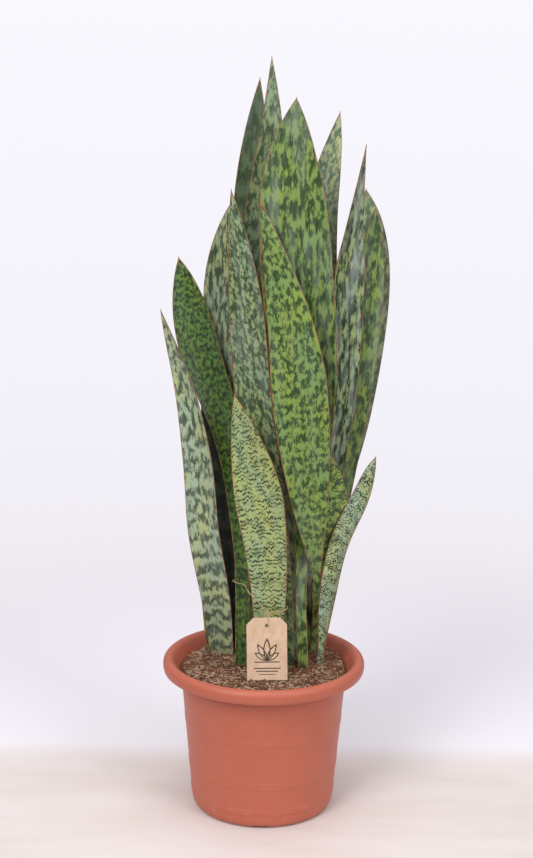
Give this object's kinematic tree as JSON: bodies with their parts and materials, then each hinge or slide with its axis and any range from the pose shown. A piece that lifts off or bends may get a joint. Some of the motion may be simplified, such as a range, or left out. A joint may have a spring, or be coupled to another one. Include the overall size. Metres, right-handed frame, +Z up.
{
  "type": "potted snake plant",
  "caption": "Snake plant with stiff, upright, cross-banded leaves in a round terracotta-coloured plastic pot with a rolled rim, with potting mix and a blank card tag on a string.",
  "frame": {"origin": "the middle of the pot's foot, on the surface that the pot stands on", "axes": "+Z up along the pot's axis and the leaves, -Y towards the front with the tag, +X to the right seen from the front"},
  "size_m": [0.2626, 0.24, 0.88],
  "materials": {
    "pot_plastic": "satin",
    "potting_mix": "matte",
    "leaf_dark": "satin",
    "leaf_mid": "satin",
    "leaf_light": "satin",
    "rhizome": "matte",
    "kraft_card": "matte",
    "twine": "matte"
  },
  "bodies": {
    "root": {"pot": "pot_plastic", "soil": "potting_mix", "leaf_far_left": "leaf_light", "leaf_left_dark": "leaf_dark", "leaf_left_broad": "leaf_mid", "leaf_folded": "leaf_mid", "leaf_tall_dark": "leaf_dark", "leaf_tallest": "leaf_light", "leaf_big_centre": "leaf_mid", "leaf_back_grey": "leaf_light", "leaf_right_sheen": "leaf_mid", "leaf_right_outer": "leaf_mid", "leaf_right_broad": "leaf_dark", "leaf_front_tall": "leaf_light", "leaf_front_short": "leaf_light", "leaf_right_bright": "leaf_light", "leaf_far_right": "leaf_light", "leaf_left_shaded": "leaf_dark", "leaf_back_left": "leaf_mid", "leaf_back_centre": "leaf_mid", "leaf_back_right": "leaf_light", "rhizome_left": "rhizome", "rhizome_front": "rhizome", "rhizome_back": "rhizome", "rhizome_right": "rhizome", "tag": "kraft_card", "tag_string": "twine", "string_knot": "twine"}
  },
  "joints": []
}
